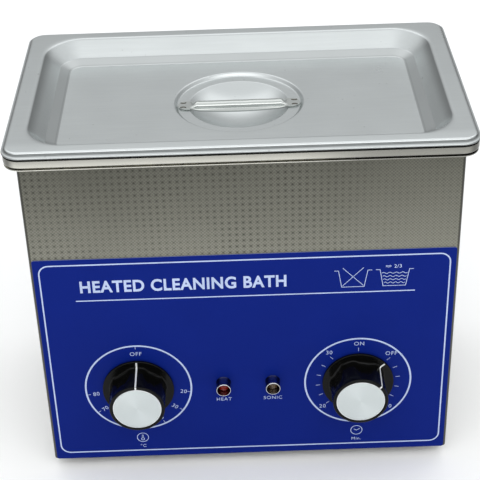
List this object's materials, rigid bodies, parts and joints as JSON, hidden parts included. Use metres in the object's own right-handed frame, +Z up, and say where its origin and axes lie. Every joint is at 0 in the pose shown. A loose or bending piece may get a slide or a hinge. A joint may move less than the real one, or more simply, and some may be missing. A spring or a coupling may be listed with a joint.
{
  "type": "ultrasonic cleaner",
  "caption": "Bench-top ultrasonic cleaner: heated steel tank with lift-off dished lid, blue front panel, temperature and timer dials, indicator lamps and rear fan.",
  "frame": {"origin": "on the surface the feet stand on, under the middle of the overall box", "axes": "+X to the right facing the control panel, +Y to the back, +Z up; the panel faces -Y"},
  "size_m": [0.2684, 0.1786, 0.2363],
  "materials": {
    "linen_steel": "embossed linen-pattern stainless sheet",
    "tank_steel": "satin drawn stainless",
    "lid_steel": "satin pressed stainless",
    "handle_steel": "polished stainless",
    "panel_blue": "satin printed film",
    "seal_rubber": "silicone",
    "foot_rubber": "moulded",
    "plain_sheet": "mill finish",
    "zinc_steel": "bright zinc plate",
    "guard_wire": "chromed",
    "bakelite": "black phenolic",
    "spun_aluminium": "spun, diamond-cut rim",
    "pointer_white": "inlaid paint",
    "black_oxide": "black oxide",
    "spindle_steel": "turned",
    "bezel_chrome": "bright chrome",
    "red_lens": "tinted, clear",
    "amber_lens": "tinted, clear",
    "clear_glass": "clear",
    "control_plastic": "moulded",
    "copper": "drawn copper",
    "cast_aluminium": "machined",
    "black_aluminium": "black anodised",
    "piezo_ceramic": "fired, unglazed",
    "mass_steel": "turned",
    "heater_silicone": "silicone, woven face",
    "board_green": "solder mask",
    "plain_brass": "turned",
    "black_plastic": "fine texture",
    "ferrite": "sintered",
    "winding": "enamelled copper wire",
    "capacitor_sleeve": "shrink sleeve",
    "capacitor_box": "moulded box",
    "terminal_green": "moulded",
    "lead_insulation": "silicone rubber sleeve"
  },
  "bodies": {
    "unit": {"housing_shell": "linen_steel", "tank": "tank_steel", "control_panel": "panel_blue", "tank_seal": "seal_rubber", "feet": "foot_rubber", "bottom_plate": "plain_sheet", "base_brackets": "plain_sheet", "m3_screws": "zinc_steel", "m4_nuts": "zinc_steel", "foot_screws": "zinc_steel", "control_screws": "zinc_steel", "earth_stud": "zinc_steel", "lamp_nuts": "zinc_steel", "bulb_clips": "zinc_steel", "fan_guard": "guard_wire", "lamp_bezels": "bezel_chrome", "heat_lamp_lens": "red_lens", "sonic_lamp_lens": "amber_lens", "neon_bulbs": "clear_glass", "fuse": "clear_glass", "thermostat": "control_plastic", "timer": "control_plastic", "capillary_tube": "copper", "sensor_bulb": "copper", "electrode_foils": "copper", "transducer_horns": "cast_aluminium", "heatsink": "black_aluminium", "piezo_rings": "piezo_ceramic", "transducer_back_masses": "mass_steel", "transducer_bolts": "mass_steel", "heating_pads": "heater_silicone", "generator_board": "board_green", "board_standoffs": "plain_brass", "inlet_pins": "plain_brass", "fuse_clips": "plain_brass", "power_inlet": "black_plastic", "power_transistors": "black_plastic", "fan_frame": "black_plastic", "ferrite_core": "ferrite", "transformer_winding": "winding", "tuning_coil": "winding", "fan_stator": "winding", "filter_capacitors": "capacitor_sleeve", "film_capacitors": "capacitor_box", "terminal_block": "terminal_green", "mains_leads": "lead_insulation", "transducer_leads": "lead_insulation"},
    "lid": {"lid": "lid_steel", "lid_handle": "handle_steel"},
    "heat_knob": {"heat_knob": "bakelite", "heat_knob_cap": "spun_aluminium", "heat_pointer": "pointer_white", "heat_set_screw": "black_oxide", "heat_spindle": "spindle_steel"},
    "timer_knob": {"timer_knob": "bakelite", "timer_knob_cap": "spun_aluminium", "timer_pointer": "pointer_white", "timer_set_screw": "black_oxide", "timer_spindle": "spindle_steel"},
    "fan_rotor": {"fan_impeller": "black_plastic"}
  },
  "joints": [
    {"name": "lid_lift", "type": "slide", "parent": "unit", "child": "lid", "axis": [0, 0, 1], "range_m": [0, 0.12]},
    {"name": "heat_knob_turn", "type": "hinge", "parent": "unit", "child": "heat_knob", "pos_m": [-0.0684, -0.06867, 0.06445], "axis": [0, 1, 0], "range_deg": [0, 262.5]},
    {"name": "timer_knob_turn", "type": "hinge", "parent": "unit", "child": "timer_knob", "pos_m": [0.0684, -0.06867, 0.06445], "axis": [0, 1, 0], "range_deg": [-48.5, 270]},
    {"name": "fan_spin", "type": "hinge", "parent": "unit", "child": "fan_rotor", "pos_m": [-0.06, 0.06857, 0.096], "axis": [0, 1, 0], "continuous": true}
  ]
}
